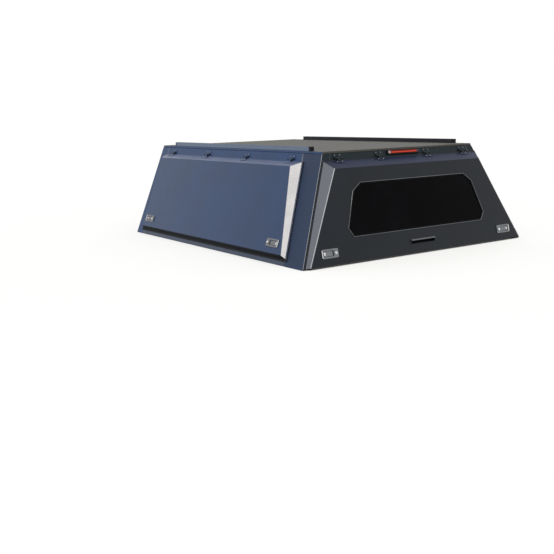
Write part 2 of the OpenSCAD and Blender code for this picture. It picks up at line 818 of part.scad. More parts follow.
// The hatch's hollow stops one sheet above its lower edge
module hatch_lined() {
    intersection() {
        hatch_block();
        translate([-far, hatch_low + sheet, -far]) cube(2 * far);
    }
}
module hatch_glass() {
    color("#0b0c0e") centred() on_rear() intersection() {
        plate(-over, far / 10) polygon(inset(hatch_window, window_rubber));
        hatch_layer(-glass_sink - glass_t, -glass_sink);
    }
}
module hatch_window_seal() {
    color("#17181b") centred() on_rear() intersection() {
        plate(-over, far / 10) difference() {
            polygon(hatch_window);
            polygon(inset(hatch_window, window_rubber));
        }
        hatch_layer(-sheet - glass_t, rubber_out);
    }
}

// Hand slot: a cup let into the hatch, with a grip rail along its top edge
module hatch_pull_handle() {
    cup = [slot_len, slot_h] - 2 * slot_play;
    hollow = [slot_len, slot_h] - 2 * [slot_wall, slot_wall] - [0, slot_thin];
    color("#1b1d20") centred() on_rear() on_hatch_face(0, slot_v) difference() {
        union() {
            plate(sheet - slot_d, 0) square(cup, center = true);
            plate(0, slot_rim_t) square([slot_len, slot_h] + 2 * slot_rim, center = true);
            translate([-slot_len / 2, slot_h / 2 - grip_lap, 0]) cube([slot_len, grip_h, grip_out]);
        }
        plate(sheet - slot_d + slot_wall, 2 * slot_d)
            translate([-slot_len / 2, -slot_h / 2] + [slot_wall, slot_wall]) square(hollow);
    }
}

front_wall();
front_window_glass();
front_window_seal();
color("#324058") centred() rear_post(-1);  // left_rear_post
color("#324058") centred() rear_post(1);  // right_rear_post
color("#324058") centred() front_post(-1);  // left_front_post
color("#324058") centred() front_post(1);  // right_front_post
color("#48567d") centred() side_header(-1);  // left_header
color("#48567d") centred() side_header(1);  // right_header
color("#3d4656") centred() sill(-1);  // left_sill
color("#3d4656") centred() sill(1);  // right_sill
color("#2e3138") centred() rear_header();
roof_panel();
roof_bows();
roof_rail(-1);  // left_roof_rail
roof_rail(1);  // right_roof_rail
roof_rail_caps();
brake_light_housing();
brake_light_lens();
door_seal(-1);  // left_door_seal
door_seal(1);  // right_door_seal
hatch_seal();
door_fixed_hinges(-1);  // left_fixed_hinges
door_fixed_hinges(1);  // right_fixed_hinges
hatch_fixed_hinges();
door_panel(-1);  // left_door_panel
door_ribs(-1);  // left_door_ribs
door_hinge_leaves(-1);  // left_door_hinge_leaves
door_latches(-1);  // left_door_latches
door_paddle(-1, true);  // left_front_paddle
door_paddle(-1, false);  // left_rear_paddle
door_panel(1);  // right_door_panel
door_ribs(1);  // right_door_ribs
door_hinge_leaves(1);  // right_door_hinge_leaves
door_latches(1);  // right_door_latches
door_paddle(1, true);  // right_front_paddle
door_paddle(1, false);  // right_rear_paddle
hatch_panel();
hatch_glass();
hatch_window_seal();
hatch_hinge_leaves();
hatch_pull_handle();
hatch_latches();
hatch_paddle(-1);  // hatch_left_paddle
hatch_paddle(1);  // hatch_right_paddle
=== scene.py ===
import json
import math

import bmesh
import bpy
from mathutils import Matrix, Vector
from mathutils.geometry import convex_hull_2d


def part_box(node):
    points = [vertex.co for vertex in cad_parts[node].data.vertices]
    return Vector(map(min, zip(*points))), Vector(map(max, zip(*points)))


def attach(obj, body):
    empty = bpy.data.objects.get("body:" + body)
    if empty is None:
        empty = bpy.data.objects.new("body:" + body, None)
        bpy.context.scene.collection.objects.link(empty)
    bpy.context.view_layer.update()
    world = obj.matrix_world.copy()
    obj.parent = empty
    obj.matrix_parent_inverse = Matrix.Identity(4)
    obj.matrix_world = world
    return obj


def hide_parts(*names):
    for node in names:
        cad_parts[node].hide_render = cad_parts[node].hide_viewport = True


print("canopy: loading the packed frame")
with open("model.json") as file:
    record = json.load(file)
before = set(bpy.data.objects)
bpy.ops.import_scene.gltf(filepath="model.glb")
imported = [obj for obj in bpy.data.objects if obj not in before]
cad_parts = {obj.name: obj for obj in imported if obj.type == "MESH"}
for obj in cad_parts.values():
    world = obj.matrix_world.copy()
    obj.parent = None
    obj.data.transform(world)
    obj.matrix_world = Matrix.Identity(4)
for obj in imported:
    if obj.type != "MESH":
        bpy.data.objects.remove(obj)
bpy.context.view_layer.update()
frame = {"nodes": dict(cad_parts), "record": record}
nodes = frame["nodes"]
record = frame["record"]
bodyOf = {node: body for body, members in record["behaviour"]["bodies"].items() for node in members}
hands = ((-1, "left"), (1, "right"))


def put(name, data):  # a new object in the scene
    thing = bpy.data.objects.new(name, data)
    bpy.context.collection.objects.link(thing)
    return thing


def standing(place, *axes):  # the matrix with its origin at this place and these three axes
    return Matrix.Translation(place) @ Matrix(axes).transposed().to_4x4()


print("canopy: camera")
view = {
    "place": (-3.6349, -4.7925, 0.8826),
    "yaw": 34.432, "pitch": -11.240, "roll": -1.416,  # degrees
    "lens": 54.09, "sensor": 36.0,  # millimetres
}


def placeCamera(view):
    yaw, pitch, roll = (math.radians(view[key]) for key in ("yaw", "pitch", "roll"))
    ahead = Vector((math.sin(yaw) * math.cos(pitch), math.cos(yaw) * math.cos(pitch), math.sin(pitch)))
    level = Vector((math.cos(yaw), -math.sin(yaw), 0))
    up = level.cross(ahead)
    lens = bpy.data.cameras.new("viewCamera")
    lens.lens, lens.sensor_width, lens.sensor_fit = view["lens"], view["sensor"], "HORIZONTAL"
    camera = put("viewCamera", lens)
    camera.matrix_world = standing(view["place"], level * math.cos(roll) + up * math.sin(roll),
                                   up * math.cos(roll) - level * math.sin(roll), -ahead)
    bpy.context.scene.camera = camera


placeCamera(view)

# Sizes of the body, in metres, as the CAD model has them
canopy = {
    "baseLen": 2.145, "baseWide": 1.840, "roofWide": 1.245, "high": 0.645,
    "rearRake": 0.188, "frontLean": 0.058,
    "doorTop": 0.067, "doorLow": 0.038, "doorProud": (0.028, 0.054), "doorRuns": (0.014, 0.046),
    "hatchTop": 0.053, "hatchLow": 0.006, "hatchProud": (0.029, 0.062), "hatchRun": 0.059,
    "rearPost": 0.166, "frontPost": 0.084, "hatchEdge": 0.006,
    "gap": 0.005, "lip": 0.005,
}
halfLean = (canopy["baseWide"] - canopy["roofWide"]) / 2
sideTilt = math.atan(halfLean / canopy["high"])
rearTilt = math.atan(canopy["rearRake"] / canopy["high"])
sideSlope = canopy["high"] / math.cos(sideTilt)
rearSlope = canopy["high"] / math.cos(rearTilt)
doorHigh = sideSlope - canopy["doorTop"]
hatchHigh = rearSlope - canopy["hatchTop"]
reach = canopy["hatchProud"][0] * math.cos(rearTilt) - canopy["hatchLow"] * math.sin(rearTilt)
midY = (canopy["baseLen"] + canopy["frontLean"] - reach) / 2
rearLean = canopy["rearRake"] / sideSlope
frontLean = canopy["frontLean"] / sideSlope
cornerLean = halfLean / rearSlope


def frameOf(corner, along, up):  # X along the face, Y up its slope, Z out of the body
    return standing(corner, along, up, along.cross(up))


def sideFrame(side):  # on the left the distance along the base counts backwards
    return frameOf(Vector((side * canopy["baseWide"] / 2, -midY, 0)), Vector((0, side, 0)),
                   Vector((-side * math.sin(sideTilt), 0, math.cos(sideTilt))))


rearFrame = frameOf(Vector((0, -midY, 0)), Vector((1, 0, 0)),
                    Vector((0, math.sin(rearTilt), math.cos(rearTilt))))
frontFrame = frameOf(Vector((0, 0, 0)), Vector((-1, 0, 0)),
                     Vector((0, -canopy["frontLean"], canopy["high"])).normalized())


def mainFace(low, lowOut, high, highOut):  # height of a panel's main face above the body, and its tilt
    pitch = (highOut - lowOut) / (high - low)
    return (lambda v: lowOut + pitch * (v - low)), math.atan(pitch)


doorFace, doorTilt = mainFace(
    canopy["doorLow"] + canopy["lip"] + canopy["doorRuns"][0], canopy["doorProud"][0],
    doorHigh - canopy["lip"] - canopy["doorRuns"][1], canopy["doorProud"][1])
hatchFace, hatchTilt = mainFace(
    canopy["hatchLow"], canopy["hatchProud"][0],
    hatchHigh - canopy["lip"] - canopy["hatchRun"], canopy["hatchProud"][1])


def onFace(base, u, v, out, tilt):
    return base @ Matrix.Translation((u, v, out)) @ Matrix.Rotation(tilt, 4, "X")


def onHatch(u, v, out=0.0):  # a place on the hatch's main face
    return onFace(rearFrame, u, v, hatchFace(v) + out, hatchTilt)


print("canopy: finishes")


class Wire:  # one socket of a shader tree, with sums and products written as Python
    def __init__(self, tree, socket=None):
        self.tree, self.socket = tree, socket

    def node(self, kind, settings=None, sockets=None, output=0):
        made = self.tree.nodes.new(kind)
        for name, value in (settings or {}).items():
            setattr(made, name, value)
        for name, value in (sockets or {}).items():
            if isinstance(value, Wire):
                self.tree.links.new(value.socket, made.inputs[name])
            else:
                made.inputs[name].default_value = value
        return Wire(self.tree, made.outputs[output])

    def maths(self, operation, first, second=0.0):
        return self.node("ShaderNodeMath", {"operation": operation}, {0: first, 1: second})

    def __add__(self, other):
        return self.maths("ADD", self, other)

    def __sub__(self, other):
        return self.maths("SUBTRACT", self, other)

    def __rsub__(self, other):
        return self.maths("SUBTRACT", other, self)

    def __mul__(self, other):
        return self.maths("MULTIPLY", self, other)

    def __abs__(self):
        return self.maths("ABSOLUTE", self)

    __radd__ = __add__
    __rmul__ = __mul__

    def orMore(self, other):
        return self.maths("MAXIMUM", self, other)

    def between(self, low, high):  # spreads low..high over 0..1, held at both ends
        return self.node("ShaderNodeMapRange", {"clamp": True},
                         {"Value": self, "From Min": low, "From Max": high})

    def blend(self, first, second):  # mixes two colours by this value, in the node's colour sockets 6 and 7
        return self.node("ShaderNodeMix", {"data_type": "RGBA"}, {0: self, 6: first, 7: second}, output=2)


def colour(rgb, strength=1.0):
    return (*(min(part * strength, 1.0) for part in rgb), 1.0)


def newFinish(name, settings):
    finish = bpy.data.materials.new(name)
    finish.use_nodes = True
    shader = finish.node_tree.nodes["Principled BSDF"]
    for socket, value in settings.items():
        shader.inputs[socket].default_value = value
    return finish, shader, Wire(finish.node_tree)


def feed(finish, shader, **wires):
    for socket, wire in wires.items():
        finish.node_tree.links.new(wire.socket, shader.inputs[socket.replace("_", " ")])


def objectPlace(wire):
    return wire.node("ShaderNodeTexCoord", output="Object")


textures = {  # detail and roughness of the noises
    "plain": (2.0, 0.5), "grain": (2.0, 0.55), "bloom": (3.0, 0.5), "cloud": (3.0, 0.6), "film": (4.0, 0.65),
}


def noise(wire, size, texture="plain", stretch=(1, 1, 1)):
    detail, rough = textures[texture]
    spot = wire.node("ShaderNodeMapping", {"vector_type": "POINT"},
                     {"Vector": objectPlace(wire), "Scale": stretch})
    return wire.node("ShaderNodeTexNoise", {}, {
        "Vector": spot, "Scale": 1 / size, "Detail": detail, "Roughness": rough})


def bumped(wire, strength, depth, height):
    return wire.node("ShaderNodeBump", {}, {"Strength": strength, "Distance": depth, "Height": height})


def coating(name, look):  # powder coat: a fine leathery grain, faint clouds and light handling marks
    finish, shader, wire = newFinish(name, {
        "IOR": look["ior"], "Specular IOR Level": look["gloss"], "Specular Tint": colour(look["tint"])})
    cloud = noise(wire, look["cloud"], "cloud").between(*look["cloudCut"])
    grain = noise(wire, look["grain"], "grain")
    marks = noise(wire, look["marks"], "cloud", look["marksStretch"]).between(*look["marksCut"])
    shade = cloud.blend(colour(look["colour"], 1 - look["spread"]), colour(look["colour"], 1 + look["spread"]))
    speck = grain.between(*look["speckCut"]) * look["speck"]
    feed(finish, shader, Base_Color=speck.blend(shade, colour(look["colour"], look["speckLight"])),
         Roughness=look["rough"] + cloud * look["cloudRough"] + marks * look["marksRough"],
         Normal=bumped(wire, look["relief"], look["grain"] * look["depth"], grain))
    return finish


commonCoat = {  # depth is a share of the grain's size
    "ior": 1.5, "cloud": 0.30, "cloudCut": (0.35, 0.65), "cloudRough": 0.04, "spread": 0.10,
    "grain": 0.0018, "relief": 0.14, "depth": 0.3,
    "speck": 0.14, "speckCut": (0.62, 0.74), "speckLight": 1.8,
    "marks": 0.15, "marksCut": (0.5, 0.85), "marksStretch": (1.0, 0.35, 2.4), "marksRough": 0.02,
}
# The sides' blue is painted sky reflection on a dark paint like the hatch's, and the side pieces are lit and
# shaded copies of it, matched to how each is lit: painted light.
coats = {
    # door main faces: dark paint with the blue of painted sky reflection
    "doorCoat": {"colour": (0.010, 0.034, 0.104), "tint": (0.80, 0.90, 1.0), "gloss": 0.44, "rough": 0.27},
    # door end bevels and lips: lighter grey, a painted highlight of the key light
    "doorEndCoat": {"colour": (0.052, 0.062, 0.084), "tint": (1.0, 0.98, 0.98), "gloss": 0.51, "rough": 0.28},
    # door top bevel: lighter blue, a painted sky reflection
    "doorTopCoat": {"colour": (0.080, 0.106, 0.190), "tint": (1.0, 1.0, 1.0), "gloss": 0.44, "rough": 0.30},
    # door lower bevel and lowest strip: near black, painted shade
    "underCoat": {"colour": (0.006, 0.007, 0.010), "tint": (1.0, 1.0, 1.0), "gloss": 0.06, "rough": 0.45},
    # posts and front wall: the side blue, darker, as painted shade and sky reflection
    "postCoat": {"colour": (0.016, 0.029, 0.066), "tint": (0.72, 0.84, 1.0), "gloss": 0.30, "rough": 0.40},
    # header, roof sides and hinge leaves: the side blue, as painted sky reflection
    "headerCoat": {"colour": (0.020, 0.046, 0.120), "tint": (0.72, 0.84, 1.0), "gloss": 0.30, "rough": 0.40},
    # sill: a lighter grey copy of the side paint, painted light
    "sillCoat": {"colour": (0.042, 0.056, 0.092), "tint": (0.90, 0.95, 1.0), "gloss": 0.30, "rough": 0.42},
    "hatchCoat": {"colour": (0.009, 0.011, 0.015), "tint": (0.92, 0.96, 1.0), "gloss": 0.24, "rough": 0.38},
    # hatch side bevels and edges: lighter grey than the hatch, a painted highlight
    "hatchSideCoat": {"colour": (0.060, 0.070, 0.090), "tint": (1.0, 1.0, 1.0), "gloss": 0.36, "rough": 0.38},
    # hatch top bevel: bluer than the hatch, a painted sky reflection
    "hatchTopCoat": {"colour": (0.005, 0.010, 0.034), "tint": (0.80, 0.88, 1.0), "gloss": 0.24, "rough": 0.38},
    "roofCoat": {"colour": (0.052, 0.051, 0.046), "tint": (1.0, 0.98, 0.94), "gloss": 0.24, "rough": 0.55,
                 "grain": 0.0034, "relief": 0.5, "speck": 0.25},
    # rounded bends: light grey, a painted highlight along the bends
    "bendCoat": {"colour": (0.26, 0.27, 0.30), "tint": (1.0, 1.0, 1.0), "gloss": 0.6, "rough": 0.26,
                 "relief": 0.05},
    "insideCoat": {"colour": (0.028, 0.031, 0.038), "tint": (1.0, 1.0, 1.0), "gloss": 0.3, "rough": 0.5},
    # window beads and the pull's grip: lighter, a painted highlight of lit edges
    "trimHighlightCoat": {"colour": (0.11, 0.115, 0.125), "tint": (1.0, 1.0, 1.0), "gloss": 0.5, "rough": 0.3,
                 "relief": 0.05},
    "hingeCoat": {"colour": (0.012, 0.015, 0.020), "tint": (1.0, 1.0, 1.0), "gloss": 0.2, "rough": 0.42},
    "rearHeaderCoat": {"colour": (0.008, 0.013, 0.016), "tint": (0.80, 0.96, 1.0), "gloss": 0.22,
                       "rough": 0.40},
}


def brushedMetal(name, look):
    finish, shader, wire = newFinish(name, {"Metallic": 1.0})
    lines = noise(wire, look["line"], "cloud", look["stretch"])
    dark, light = (colour(look["colour"], share) for share in look["shades"])
    feed(finish, shader, Base_Color=lines.between(*look["lineCut"]).blend(dark, light),
         Roughness=look["rough"] + noise(wire, look["smear"]) * look["smearRough"],
         Normal=bumped(wire, look["relief"], look["depth"], lines))
    return finish


commonMetal = {"shades": (0.82, 1.15), "lineCut": (0.3, 0.7), "smear": 0.05, "smearRough": 0.12,
               "relief": 0.12, "depth": 0.0002}
metals = {
    "latchMetal": {"colour": (0.19, 0.20, 0.215), "rough": 0.36, "line": 0.004, "stretch": (1.0, 1.0, 6.0)},
    "brightMetal": {"colour": (0.72, 0.72, 0.70), "rough": 0.22, "line": 0.003, "stretch": (1.0, 1.0, 1.0)},
    "railInner": {"colour": (0.042, 0.045, 0.054), "rough": 0.38, "line": 0.004, "stretch": (8.0, 0.4, 8.0)},
    # rail outer faces: lighter and bluer than the inner ones, a lit copy with painted sky reflection
    "railOuter": {"colour": (0.138, 0.174, 0.246), "rough": 0.34, "line": 0.004, "stretch": (8.0, 0.4, 8.0)},
    "screwSteel": {"colour": (0.24, 0.25, 0.28), "rough": 0.34, "line": 0.002, "stretch": (1.0, 1.0, 1.0)},
}


def moulded(name, look):  # plastic or rubber with a fine grain
    finish, shader, wire = newFinish(name, {"IOR": look["ior"], "Specular IOR Level": look["gloss"]})
    bloom = noise(wire, look["bloom"], "bloom").between(*look["bloomCut"])
    plain, light = colour(look["colour"]), colour(look["colour"], look["bloomLight"])
    feed(finish, shader, Base_Color=bloom.blend(plain, light),
         Roughness=look["rough"] + bloom * look["bloomRough"],
         Normal=bumped(wire, look["relief"], look["depth"], noise(wire, look["grain"])))
    return finish


commonMoulding = {"ior": 1.5, "bloom": 0.12, "bloomCut": (0.4, 0.7), "bloomLight": 1.5, "bloomRough": 0.1,
                  "relief": 0.25, "depth": 0.0003}
mouldings = {
    # brake light left end: light grey, a painted reflection of the sky on its rounded end
    "lampEndHighlight": {"colour": (0.34, 0.29, 0.30), "rough": 0.45, "gloss": 0.2, "grain": 0.003},
    "lampMauve": {"colour": (0.055, 0.036, 0.050), "rough": 0.5, "gloss": 0.15, "grain": 0.003},
    "capPlastic": {"colour": (0.005, 0.005, 0.006), "rough": 0.5, "gloss": 0.18, "grain": 0.0015},
    "sealRubber": {"colour": (0.008, 0.008, 0.009), "rough": 0.68, "gloss": 0.22, "grain": 0.0022},
    "windowRubber": {"colour": (0.0022, 0.0022, 0.0028), "rough": 0.6, "gloss": 0.05, "grain": 0.0022},
}


def tintedGlass(name, look):
    finish, shader, wire = newFinish(name, {
        "IOR": look["ior"], "Specular IOR Level": look["gloss"], "Alpha": look["cover"]})
    film = noise(wire, look["film"], "film").between(*look["filmCut"])
    plain, light = colour(look["colour"]), colour(look["colour"], look["filmLight"])
    feed(finish, shader, Base_Color=film.blend(plain, light),
         Roughness=look["rough"] + film * look["filmRough"])
    return finish


glasses = {"darkGlass": {
    "colour": (0.0016, 0.0016, 0.0022), "ior": 1.45, "gloss": 0.04, "cover": 0.95, "rough": 0.03,
    "film": 0.25, "filmCut": (0.45, 0.8), "filmLight": 2.2, "filmRough": 0.05}}


def redLens(name, look):  # red plastic with fine ribs, and a lighter band along its middle: the row of lamps behind the lens, brightened by a painted highlight
    finish, shader, wire = newFinish(name, {"IOR": look["ior"], "Specular IOR Level": look["gloss"]})
    place = objectPlace(wire)
    ribs, lamps = (wire.node("ShaderNodeTexWave", {"wave_type": "BANDS", "bands_direction": "X"}, {
        "Vector": place, "Scale": 1 / (math.pi * look[size])}, output=1) for size in ("rib", "lamp"))
    high = wire.node("ShaderNodeSeparateXYZ", {}, {"Vector": place}, output="Z")
    line = (1 - abs(high - look["middle"]) * (1 / look["line"])).between(*look["lineCut"])
    lit = line * (lamps * look["lampSwing"] + (1 - look["lampSwing"]))
    feed(finish, shader, Base_Color=lit.blend(colour(look["colour"]), colour(look["glow"])),
         Roughness=look["rough"] + ribs * look["ribRough"],
         Normal=bumped(wire, look["relief"], look["depth"], ribs))
    return finish


lampLow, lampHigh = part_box("brake_light_lens")
lampMiddle = (Vector(lampLow) + Vector(lampHigh)) / 2
lenses = {"redLens": {
    "colour": (0.15, 0.004, 0.002), "glow": (0.80, 0.075, 0.035), "ior": 1.5, "gloss": 0.16, "rough": 0.22,
    "line": 0.0055, "lineCut": (0.0, 0.8), "middle": lampMiddle.z, "lamp": 0.021, "lampSwing": 0.35,
    "rib": 0.004, "ribRough": 0.06, "relief": 0.25, "depth": 0.0004}}
finishes = {name: make(name, {**common, **look}) for make, common, looks in (
    (coating, commonCoat, coats), (brushedMetal, commonMetal, metals), (moulded, commonMoulding, mouldings),
    (tintedGlass, {}, glasses), (redLens, {}, lenses)) for name, look in looks.items()}


print("canopy: folded sheet pieces")
rounding = {  # angles in degrees, areas in square metres
    "merge": 1e-5, "cut": 1e-6, "flat": 0.5, "sharp": 40,
    "rising": 0.6, "sideways": 0.6, "cornerSegments": 4,  # the least shares of Z and of X that a corner has
    "near": 0.7,  # radians between faces that share a rounded strip
    "sameFinish": -1,  # the slot number with which a rounded strip takes its neighbours' finish
    "passes": (("fold", 12, 0.008, 4), ("edge", 40, 0, 2)),  # least angle, least area, segments
}


def isFold(edge, least, area):
    return (len(edge.link_faces) == 2 and edge.calc_face_angle_signed() > math.radians(least)
            and min(face.calc_area() for face in edge.link_faces) > area)


def isCorner(edge, look):  # an edge that runs up the slope beside a side face
    run = (edge.verts[0].co - edge.verts[1].co).normalized()
    return (isFold(edge, look["cornerLeast"], look["cornerArea"]) and abs(run.z) > rounding["rising"]
            and max(abs(face.normal.x) for face in edge.link_faces) > rounding["sideways"])


def roundOff(shape, edges, mark, offset, segments, slot):
    made = bmesh.ops.bevel(shape, geom=edges, offset=offset, segments=segments, profile=0.5, affect="EDGES",
                           clamp_overlap=True, material=slot)
    for face in made["faces"]:
        face[mark] = 1


def evenNormals(mesh, rounded):  # flat faces keep their direction, and the rounded strips turn between them
    touching = {}
    for face in mesh.polygons:
        for corner in face.vertices:
            touching.setdefault(corner, []).append(face)
    directions = []
    for face in mesh.polygons:
        for corner in face.vertices:
            near = [face]
            if rounded[face.index]:
                near = [other for other in touching[corner]
                        if other.normal.angle(face.normal, math.pi) < rounding["near"]]
                near = [other for other in near if not rounded[other.index]] or near
            directions.append(sum((other.normal * other.area for other in near), Vector()).normalized())
    mesh.normals_split_custom_set(directions)


def joined(node, split):  # a copy of the node's mesh, its triangles joined to flat faces, and cut at a height
    shape = bmesh.new()
    shape.from_mesh(nodes[node].data)
    bmesh.ops.remove_doubles(shape, verts=shape.verts, dist=rounding["merge"])
    bmesh.ops.dissolve_limit(shape, angle_limit=math.radians(rounding["flat"]),
                             verts=shape.verts, edges=shape.edges)
    if split:
        bmesh.ops.bisect_plane(shape, geom=[*shape.verts, *shape.edges, *shape.faces],
                               dist=rounding["cut"], plane_co=(0, 0, split), plane_no=(0, 0, 1))
    return shape


def softened(node, piece, look, side=1):  # a copy of the node with its folds and cut edges rounded
    shape = joined(node, look.get("split"))
    isRounded = shape.faces.layers.int.new("rounded")
    looks = [look["finish"], look.get("bend", look["finish"])]
    for face in shape.faces:
        face.material_index, face.smooth = 0, True
    for finish, direction, least, *limit in look.get("facing", []):  # a limit is an axis and the most on it
        toward = Vector((direction[0] * side, direction[1], direction[2])).normalized()
        axis, most = limit or (2, math.inf)
        for face in shape.faces:
            if face.normal.dot(toward) > least and face.calc_center_median()[axis] < most:
                face.material_index = len(looks)
        looks.append(finish)
    # the rounded corners take the bend finish, a painted highlight along the bends
    if "corner" in look:
        roundOff(shape, [edge for edge in shape.edges if isCorner(edge, look)], isRounded, look["corner"],
                 rounding["cornerSegments"], looks.index(look["bend"]))
    for key, least, area, segments in rounding["passes"]:
        if key in look:
            roundOff(shape, [edge for edge in shape.edges if isFold(edge, least, area)], isRounded, look[key],
                     look.get("segments", segments), rounding["sameFinish"])
    rounded = [face[isRounded] for face in shape.faces]
    made = bpy.data.meshes.new(piece)
    shape.to_mesh(made)
    shape.free()
    for finish in looks:
        made.materials.append(finishes[finish])
    evenNormals(made, rounded)
    thing = put(piece, made)
    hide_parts(node)
    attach(thing, bodyOf[node])


inner = ("insideCoat", (-0.93, 0, -0.37), 0.8)
sheetLooks = {  # a facing names a finish, the direction of its faces on the right side, and the least agreement
    "door_panel": {
        "finish": "doorCoat", "bend": "bendCoat", "corner": 0.0022, "cornerLeast": 60, "cornerArea": 0,
        "fold": 0.004, "edge": 0.0010,
        "split": 0.0445,  # the lowest strip of the panel is painted near black, as painted shade of the gap above the sill
        "facing": [("underCoat", (0.83, 0, -0.56), 0.9), ("underCoat", (0.91, 0, 0.42), 0.97, 2, 0.045),
                   ("doorEndCoat", (0.56, -0.69, 0.46), 0.9), ("doorEndCoat", (0.56, 0.69, 0.46), 0.9),
                   ("doorEndCoat", (-0.107, -0.966, 0.233), 0.97), ("doorEndCoat", (0, 1, 0), 0.97),
                   ("doorTopCoat", (0.32, 0, 0.95), 0.95), inner]},
    "rear_post": {
        "finish": "postCoat", "bend": "bendCoat", "corner": 0.0042, "cornerLeast": 40, "cornerArea": 0,
        "fold": 0.005, "edge": 0.0012, "facing": [("rearHeaderCoat", (0, -1, 0), 0.85), inner]},
    "front_post": {
        "finish": "headerCoat", "bend": "bendCoat", "corner": 0.003, "cornerLeast": 40, "cornerArea": 0,
        "fold": 0.005, "edge": 0.0012, "facing": [inner]},
    "header": {
        "finish": "headerCoat", "bend": "bendCoat", "corner": 0.002, "cornerLeast": 40, "cornerArea": 0,
        "fold": 0.003, "edge": 0.0012, "facing": [inner]},
    "sill": {"finish": "sillCoat", "fold": 0.003, "edge": 0.0012, "facing": [inner]},
    "roof_rail": {"finish": "railInner", "edge": 0.0015, "facing": [("railOuter", (1, 0, 0), 0.6)]},
    "door_ribs": {"finish": "insideCoat", "edge": 0.0008},
}
for part, look in sheetLooks.items():
    for side, hand in hands:
        softened(f"{hand}_{part}", f"{hand}_{part}_folded", look, side)

singleLooks = {
    "hatch_panel": {
        "finish": "hatchCoat", "bend": "bendCoat", "corner": 0.0027, "cornerLeast": 40, "cornerArea": 0.008,
        "fold": 0.004, "edge": 0.0010,
        "facing": [("hatchSideCoat", (-0.91, 0, 0.42), 0.93), ("hatchSideCoat", (0.91, 0, 0.42), 0.93),
                   ("hatchSideCoat", (-0.68, -0.56, 0.48), 0.9), ("hatchSideCoat", (0.68, -0.56, 0.48), 0.9),
                   ("hatchTopCoat", (0, -0.5, 0.87), 0.9), ("insideCoat", (0, 1, -0.25), 0.85)]},
    "rear_header": {"finish": "rearHeaderCoat", "fold": 0.003, "edge": 0.0012},
    "roof_panel": {
        "finish": "roofCoat", "fold": 0.005, "edge": 0.0008,
        # the roof's side faces take the header blue, a painted sky reflection
        "facing": [("headerCoat", (-1, 0, 0), 0.6), ("headerCoat", (1, 0, 0), 0.6),
                   ("insideCoat", (0, 0, -1), 0.8)]},
    "front_wall": {"finish": "postCoat", "fold": 0.004, "edge": 0.0008,
                   "facing": [("insideCoat", (0, -1, 0), 0.7)]},
    "roof_bows": {"finish": "insideCoat", "edge": 0.0008},
    "roof_rail_caps": {"finish": "capPlastic", "edge": 0.002},
    "brake_light_housing": {"finish": "capPlastic", "edge": 0.0014},
    "brake_light_lens": {"finish": "redLens", "edge": 0.0045, "segments": 5},
    # the handle is black plastic, and its pocket takes the blackest finish as painted shade of the recess
    "hatch_pull_handle": {"finish": "windowRubber", "edge": 0.0008,
                          "facing": [("hatchCoat", (0, -0.975, 0.222), 0.95, 1, -1.095)]},
}
for node, look in singleLooks.items():
    softened(node, f"{node}_folded", look)

print("canopy: latches and hinges")
leafFaces = {  # the flat leaves have the colour of the sheet that they lie on, painted sky reflection included, and the knuckles are black
    "door": [("headerCoat", (0.91, 0, 0.42), 0.99), ("doorTopCoat", (0.32, 0, 0.95), 0.99)],
    "hatch": [("rearHeaderCoat", (0, -0.96, 0.28), 0.99), ("hatchTopCoat", (0, -0.5, 0.87), 0.99)],
}
for node in list(nodes):
    if node.endswith("_latches"):
        softened(node, f"{node}_cast", {"finish": "latchMetal", "edge": 0.0011})
    elif node.endswith("_paddle"):
        softened(node, f"{node}_cast", {"finish": "latchMetal", "edge": 0.0009})
    elif "hinge" in node:
        faces = leafFaces["hatch" if "hatch" in node else "door"]
        softened(node, f"{node}_turned", {"finish": "hingeCoat", "edge": 0.0006, "facing": faces},
                 -1 if "left" in node else 1)

print("canopy: kept nodes")
keptFinishes = {"window_seal": "windowRubber", "seal": "sealRubber", "glass": "darkGlass"}
for node, thing in nodes.items():
    finish = next((name for word, name in keptFinishes.items() if word in node), None)
    if finish:
        for slot in thing.material_slots:
            slot.material = finishes[finish]


print("canopy: screws and ridges")
stamps = []  # shapes that are only copied, and are removed at the end


def keepAs(name, shape):
    bmesh.ops.recalc_face_normals(shape, faces=shape.faces)
    mesh = bpy.data.meshes.new(name)
    shape.to_mesh(mesh)
    shape.free()
    stamps.append(put(name, mesh))
    return stamps[-1]


def turned(rings, sides=20, stretch=1.0):  # a round or oval body from rings of radius, height and corners
    shape = bmesh.new()
    loops = []
    for radius, high, *corners in rings:
        step = sides // corners[0] if corners else 1
        turns = [2 * math.pi * i / sides for i in range(0, sides, step)]
        loops.append([shape.verts.new((radius * math.cos(turn), radius * stretch * math.sin(turn), high))
                      for turn in turns])
    for low, high in zip(loops, loops[1:]):
        for i in range(sides):
            j = (i + 1) % sides
            corners = [loop[k * len(loop) // sides] for loop, k in ((low, i), (low, j), (high, j), (high, i))]
            corners = list(dict.fromkeys(corners))
            if len(corners) > 2 and not shape.faces.get(corners):
                shape.faces.new(corners)
    shape.faces.new(list(reversed(loops[0])))
    shape.faces.new(loops[-1])
    return shape


def ridgeBar(long, wide, high, steps=6):  # a bar with a rounded back
    shape = bmesh.new()
    turns = [math.pi * k / steps for k in range(1, steps)]
    arc = [(-wide / 2, 0), *((-wide / 2 * math.cos(t), high * math.sin(t)) for t in turns), (wide / 2, 0)]
    ends = [[shape.verts.new((x, y, z)) for x, z in arc] for y in (-long / 2, long / 2)]
    for i in range(len(arc)):
        j = (i + 1) % len(arc)
        shape.faces.new((ends[0][i], ends[0][j], ends[1][j], ends[1][i]))
    shape.faces.new(list(reversed(ends[0])))
    shape.faces.new(ends[1])
    return shape


